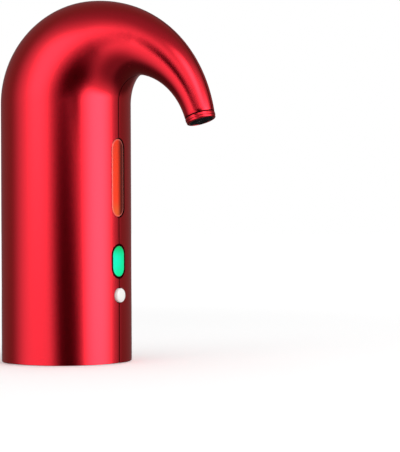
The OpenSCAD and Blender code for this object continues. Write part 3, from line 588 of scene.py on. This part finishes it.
# Nozzle ring on its spigot, in (radius, height) from the spout's end: a rolled lip below, a fine
# groove round it, and a groove above it whose neck takes the unpainted dark ABS, which also paints
# the groove's shade
GROOVE_LEVEL = -0.44
profile = [
    (2.2, 1.0),
    (2.2, -1.8),
    (5.45, -1.8),
    (5.45, -2.9),
    *arc((5.55, -2.9), 0.1, 180, 270, 2),
    *arc((5.95, -2.45), 0.55, -80, 0, 5),
    (6.5, -1.98),
    (6.35, -1.92),
    (6.35, -1.82),
    *arc((6.55, -1.62), 0.15, -60, 0, 3),
    *arc((6.55, -0.6), 0.15, 0, 90, 3),
    (5.9, -0.45),
    (5.9, 0),
    (4.7, 0),
    (4.7, 5.0),
    (3.1, 5.0),
    (3.1, 1.0),
]
bm = spun(profile, at_tip)
from_tip = at_tip.inverted()
# Faces of the groove's neck take the dark ABS: unpainted plastic, and painted shade in the groove
for face in bm.faces:
    middle = from_tip @ face.calc_center_median()
    if middle.z > GROOVE_LEVEL * MM and math.hypot(middle.x, middle.y) > SPIGOT_R * MM:
        face.material_index = 1
nozzle = mesh_object("nozzle_ring", bm, lacquer, dark_abs_and_painted_shade)
piece(nozzle, "nozzle_tip")

# Drip ring inside the lip, with one round channel
profile = [
    *arc((2.5, -2.7), 0.3, 180, 270, 3),
    *arc((3.4, -3.0), 0.15, 180, 90, 2),
    *arc((4.2, -3.0), 0.15, 90, 0, 2),
    *arc((5.1, -2.7), 0.3, -90, 0, 3),
    (5.4, -1.82),
    (2.2, -1.82),
]
drip = mesh_object("soft_drip_ring", spun(profile, at_tip), looks["grey_silicone"])
piece(drip, "drip_ring")


def lens(size, set_in, edge, paint_edge_shade):
    """A lens in the curve of the body: rounded edge, a side in dark ABS as painted shade in its
    gap, and a flange behind the wall.
    """
    face = BODY_R - set_in
    reach = size[0] / 2
    flat = [(reach * (n / 10 - 1) + LENS_CORE, face) for n in range(9)]
    edges = [(-edge * (1 - math.sin(t)), face - edge * (1 - math.cos(t))) for t in QUARTER]
    flange = [(0, LENS_SEAT), (LENS_FLANGE, LENS_SEAT), (LENS_FLANGE, LENS_BACK)]
    loops = [*flat, *edges, *flange, (LENS_CORE - reach, LENS_BACK)]
    # The side, and the rounded edge too where asked, take the dark ABS: painted shade in the gap
    # round the lens
    dark_from = len(flat) if paint_edge_shade else len(flat) + len(edges)
    return bent_pill(size, loops, range(dark_from, len(loops)))


window = lens(WINDOW, WINDOW_SET, edge=0.6, paint_edge_shade=False)
piece(mesh_object("amber_window", window, amber, dark_abs_and_painted_shade), "window_lens")
status = lens(LIGHT, LIGHT_SET, edge=0.5, paint_edge_shade=True)
piece(mesh_object("status_light", status, green, dark_abs_and_painted_shade), "status_lens")

# Button, in (radius, distance from the body's axis): stem, flange, side, soft edge and crown
on_x = Matrix.Translation((0, 0, BUTTON_Z * MM)) @ Matrix.Rotation(TURN / 4, 4, "Y")
profile = [(0, 26.2), (1.75, 26.2), (1.75, 26.4), (4.3, 26.4), (4.3, 27.4), (BUTTON_R, 27.4)]
profile += arc((BUTTON_R - 0.7, 30.65), 0.7, 0, 78, 6)
dome = BUTTON_TOP - BUTTON_BULGE
profile += [
    (r, dome + math.sqrt(BUTTON_BULGE * BUTTON_BULGE - r * r))
    for r in (2.3, 1.9, 1.4, 0.9, 0.45, 0)
]
button = mesh_object("button_cap", spun(profile, on_x, 64), looks["white_plastic"])
piece(button, "power_button", "button")

# Soft cuff in the socket's mouth, in (radius, height): a lip below, and ribs that grip
profile = [
    (15, 0.5),
    *arc((15.5, 0.5), 0.5, 180, 270, 3),
    *arc((18.9, 0.4), 0.4, -90, 0, 3),
    (19.3, 0.8),
    (16.8, 0.8),
    (16.8, 22),
    (15.6, 22),
]
for rib in (20, 16.5, 13, 9.5, 6):
    profile += arc((15.5, rib), 0.5, 90, 270, 6)
profile += [(15.5, 3.4), (15, 2.6)]
cuff = mesh_object("ribbed_neck_cuff", spun(profile, Matrix(), 128), looks["grey_silicone"])
piece(cuff, "neck_cuff")

# The lacquer mirrors the studio alone, so no piece shows in another. The charging socket mirrors
# itself.
for each in [*pieces, *nodes.values()]:
    each.visible_glossy = each == nodes["usb_socket"]

# ---------------------------------------------------------------- camera
AZIMUTH = math.radians(37.8)
AIM = math.radians(5.07)
DIP = math.radians(0.149)
ROLL = math.radians(-0.23)
CAMERA_FAR = 0.7
CAMERA_HIGH = 0.0637
toward = Vector((math.sin(AZIMUTH), -math.cos(AZIMUTH), 0))
right = Vector((math.cos(AZIMUTH), math.sin(AZIMUTH), 0))
up = Vector((0, 0, 1))

camera = bpy.data.objects.new("camera", bpy.data.cameras.new("camera"))
scene.collection.objects.link(camera)
scene.camera = camera
camera.data.lens = 119.8
camera.data.sensor_width = 36
camera.data.clip_start, camera.data.clip_end = 0.01, 20
look = (-toward * math.cos(AIM) + right * math.sin(AIM)) * math.cos(DIP) - up * math.sin(DIP)
across = look.cross(up).normalized()
turn = Matrix((across, across.cross(look), -look)).transposed().to_4x4()
at = Matrix.Translation(toward * CAMERA_FAR + up * CAMERA_HIGH)
camera.matrix_world = at @ turn @ Matrix.Rotation(ROLL, 4, "Z")

# ---------------------------------------------------------------- studio
WHITE = linear("#ffffff")
scene.view_settings.view_transform = "Standard"

# White all round where it is seen, and a little less as light
world = bpy.data.worlds.new("studio")
scene.world = world
world.use_nodes = True
tree = world.node_tree
tree.nodes.clear()
rays = add(tree, "ShaderNodeLightPath").node.outputs
seen = add(
    tree,
    "ShaderNodeMath",
    {0: rays["Is Camera Ray"], 1: rays["Is Glossy Ray"]},
    operation="ADD",
)
seen = add(
    tree,
    "ShaderNodeMath",
    {0: seen, 1: rays["Is Transmission Ray"]},
    operation="ADD",
    use_clamp=True,
)
level = add(tree, "ShaderNodeMapRange", {"Value": seen, "To Min": 0.75, "To Max": 1.0})
sky = add(tree, "ShaderNodeBackground", {"Color": WHITE, "Strength": level})
add(tree, "ShaderNodeOutputWorld", {"Surface": sky})
world.cycles.sampling_method = "NONE"


def stage_object(name, bm, look):
    """An object of the studio, which isn't part of the aerator."""
    mesh = bpy.data.meshes.new(name)
    bm.to_mesh(mesh)
    bm.free()
    made = bpy.data.objects.new(name, mesh)
    scene.collection.objects.link(made)
    mesh.materials.append(look)
    return made


def only_reflected(made):
    """Leaves an object to reflections alone."""
    made.visible_camera = made.visible_diffuse = made.visible_shadow = False
    made.visible_transmission = made.visible_volume_scatter = False
    return made


def direction(swing, lift):
    """A direction from the part, in degrees to the right of the camera and above it."""
    s, e = math.radians(swing), math.radians(lift)
    return (toward * math.cos(s) + right * math.sin(s)) * math.cos(e) + up * math.sin(e)


def facing(made, way, far, centre=Vector((0.02, 0, 0.09))):
    """Puts a stage object at a distance from the part, its Z axis away from it and its Y up."""
    level = up.cross(way)
    flat = Matrix((level.normalized(), way.cross(level).normalized(), way.normalized()))
    made.matrix_world = Matrix.Translation(centre + way * far) @ flat.transposed().to_4x4()
    return made


def fading_cloth(tree, strength, clear):
    """A cloth that gives off an even light, and goes over into air where `clear` rises to 1."""
    cloth = add(tree, "ShaderNodeEmission", {"Color": WHITE, "Strength": strength})
    air = add(tree, "ShaderNodeBsdfTransparent")
    mix = add(tree, "ShaderNodeMixShader", {0: clear, 1: cloth, 2: air})
    add(tree, "ShaderNodeOutputMaterial", {"Surface": mix})


def cos(angle):
    return math.cos(math.radians(angle))


def tan(angle):
    return math.tan(math.radians(angle))


# White paper floor, a hair below the part: it keeps the object's shadow and goes over into the
# white behind it. It is clear from below and inside the standing edge, so the underside has light.
FLOOR_HALF = 6
FLOOR_DROP = 0.0003
CLEAR_R = 0.0285
paper, tree = material("white_paper")
shown = add(tree, "ShaderNodeLightPath", out="Is Camera Ray")
plain = add(tree, "ShaderNodeBsdfDiffuse", {"Color": linear("#f4f4f4")})
where = add(tree, "ShaderNodeTexCoord", out="Object")
far = add(tree, "ShaderNodeVectorMath", {0: where}, "Value", operation="LENGTH")
fade = {"Value": far, "From Min": 0.25, "From Max": 0.9, "To Min": 0.13, "To Max": 0.4}
lift = add(tree, "ShaderNodeMapRange", fade, **SMOOTH)
lift = add(tree, "ShaderNodeMath", {0: shown, 1: lift}, operation="MULTIPLY")
glow = add(tree, "ShaderNodeEmission", {"Color": WHITE, "Strength": lift})
both = add(tree, "ShaderNodeAddShader", {0: plain, 1: glow})
under = add(tree, "ShaderNodeNewGeometry", out="Backfacing")
hole = add(tree, "ShaderNodeMath", {0: far, 1: CLEAR_R}, operation="LESS_THAN")
under = add(tree, "ShaderNodeMath", {0: under, 1: hole}, operation="MAXIMUM")
air = add(tree, "ShaderNodeBsdfTransparent")
mix = add(tree, "ShaderNodeMixShader", {0: under, 1: both, 2: air})
add(tree, "ShaderNodeOutputMaterial", {"Surface": mix})
bm = bmesh.new()
lowered = Matrix.Translation((0, 0, -FLOOR_DROP))
bmesh.ops.create_grid(bm, x_segments=1, y_segments=1, size=FLOOR_HALF, matrix=lowered)
floor = stage_object("floor", bm, paper)
floor.visible_glossy = False

# A grey tent round the set, open to the white on both sides of the camera: dark behind, above and
# below, and darkest low down at the rear
TENT_R = 2.5
tent_cloth, tree = material("grey_tent_cloth")
where = add(tree, "ShaderNodeTexCoord", out="Object")
_, y, z = add(tree, "ShaderNodeSeparateXYZ", {"Vector": where}).node.outputs
back, above, below, low, rear = (
    add(
        tree,
        "ShaderNodeMapRange",
        {
            "Value": axis,
            "From Min": start * TENT_R,
            "From Max": end * TENT_R,
            "To Min": at_start,
            "To Max": at_end,
        },
        **SMOOTH,
    )
    for axis, start, end, at_start, at_end in (
        (z, cos(114), cos(64), 0.0, 1.0),
        (y, 0.52, 0.98, 1.0, 0.13),
        (y, -0.1, -0.95, 1.0, 0.0),
        (y, -0.05, -0.35, 0.0, 1.0),
        (z, 0.15, -0.15, 0.0, 1.0),
    )
)
open_part = add(tree, "ShaderNodeMath", {0: above, 1: below}, operation="MULTIPLY")
open_part = add(tree, "ShaderNodeMath", {0: open_part, 1: back}, operation="MULTIPLY")
dusk = add(tree, "ShaderNodeMath", {0: low, 1: rear}, operation="MULTIPLY")
grey = add(tree, "ShaderNodeMapRange", {"Value": dusk, "To Min": 0.17, "To Max": 0.06})
fading_cloth(tree, grey, open_part)
bm = bmesh.new()
bmesh.ops.create_icosphere(bm, subdivisions=4, radius=TENT_R)
facing(only_reflected(stage_object("tent", bm, tent_cloth)), toward, 0)

# A black flag behind the camera, a slanting oval with a soft edge
FLAG_FAR = 1.5
FLAG_R = 2.0
FLAG_SLANT = 0.5
flag_cloth, tree = material("black_flag_cloth")
where = add(tree, "ShaderNodeTexCoord", out="Object")
x, y, _ = add(tree, "ShaderNodeSeparateXYZ", {"Vector": where}).node.outputs
lower = add(tree, "ShaderNodeMath", {0: y, 1: 0.95}, operation="MULTIPLY")
y = add(tree, "ShaderNodeMath", {0: y, 1: lower}, operation="MAXIMUM")
x = add(tree, "ShaderNodeMath", {0: y, 1: FLAG_SLANT, 2: x}, operation="MULTIPLY_ADD")
out = add(tree, "ShaderNodeCombineXYZ", {"X": x, "Y": y})
out = add(tree, "ShaderNodeVectorMath", {0: out}, "Value", operation="LENGTH")
open_part = add(
    tree,
    "ShaderNodeMapRange",
    {"Value": out, "From Min": FLAG_FAR * tan(10), "From Max": FLAG_FAR * tan(37)},
    **SMOOTH,
)
fading_cloth(tree, 0.01, open_part)
bm = bmesh.new()
bmesh.ops.create_circle(bm, cap_ends=True, segments=64, radius=FLAG_R)
facing(only_reflected(stage_object("front_flag", bm, flag_cloth)), direction(2, -10), FLAG_FAR)

# A small black card close to the spout, which draws a dark band down it: a long slanting oval
CARD_FAR = 0.045
CARD_FACES = Vector((0.0635, -0.009, 0.129))
CARD_SLANT = math.radians(-55)
CARD_HALF = (0.055, 0.026)
card_black, tree = material("black_card")
where = add(tree, "ShaderNodeTexCoord", out="Object")
out = add(tree, "ShaderNodeVectorMath", {0: where}, "Value", operation="LENGTH")
fade = {"Value": out, "From Min": 0.1, "From Max": 1.0}
fading_cloth(tree, 0.05, add(tree, "ShaderNodeMapRange", fade, **SMOOTH))
bm = bmesh.new()
bmesh.ops.create_circle(bm, cap_ends=True, segments=48, radius=1)
card = only_reflected(stage_object("spout_flag", bm, card_black))
facing(card, direction(-36, 12), CARD_FAR, CARD_FACES)
shape = Matrix.Rotation(CARD_SLANT, 4, "Z") @ Matrix.Diagonal((*CARD_HALF, 1, 1))
card.matrix_world = card.matrix_world @ shape

# Softboxes with soft edges, seen in reflections alone: a strong one to the right, a weak one to
# the left and one above
SOFTBOX_FAR = 1.4
SOFTBOX_HALF = 1.2
for name, swing, lift, half_w, half_h, strength in (
    ("right_softbox", 57, 5, 1.0, 0.75, 2.2),
    ("left_softbox", -52, 20, 0.7, 0.75, 0.9),
    ("top_softbox", 30, 38, 0.55, 0.65, 1.8),
):
    softbox, tree = material(name + "_cloth")
    where = add(tree, "ShaderNodeTexCoord", out="Object")
    size = add(tree, "ShaderNodeVectorMath", {0: where}, operation="ABSOLUTE")
    x, y, _ = add(tree, "ShaderNodeSeparateXYZ", {"Vector": size}).node.outputs
    fade = {"Value": x, "From Min": half_w, "From Max": 0.08 * half_w}
    x = add(tree, "ShaderNodeMapRange", fade, **SMOOTH)
    fade = {"Value": y, "From Min": half_h, "From Max": 0.25 * half_h}
    y = add(tree, "ShaderNodeMapRange", fade, **SMOOTH)
    glow = add(tree, "ShaderNodeMath", {0: x, 1: y}, operation="MULTIPLY")
    glow = add(tree, "ShaderNodeMath", {0: glow, 1: strength}, operation="MULTIPLY")
    cloth = add(tree, "ShaderNodeEmission", {"Color": WHITE, "Strength": glow})
    air = add(tree, "ShaderNodeBsdfTransparent")
    both = add(tree, "ShaderNodeAddShader", {0: cloth, 1: air})
    add(tree, "ShaderNodeOutputMaterial", {"Surface": both})
    bm = bmesh.new()
    bmesh.ops.create_grid(bm, x_segments=1, y_segments=1, size=SOFTBOX_HALF)
    facing(only_reflected(stage_object(name, bm, softbox)), direction(swing, lift), SOFTBOX_FAR)

# Soft lamps for the diffuse light, which reflections don't show
LAMP_FAR = 1.2
LAMP_SIZE = (0.7, 1.2)
for name, swing, lift, radiance in (("key", 57, 35, 2.2), ("fill", -55, 25, 0.6)):
    light = bpy.data.lights.new(name, "AREA")
    light.shape = "RECTANGLE"
    light.size, light.size_y = LAMP_SIZE
    light.energy = radiance * math.pi * light.size * light.size_y
    lamp = bpy.data.objects.new(name, light)
    scene.collection.objects.link(lamp)
    lamp.visible_glossy = False
    facing(lamp, direction(swing, lift), LAMP_FAR)
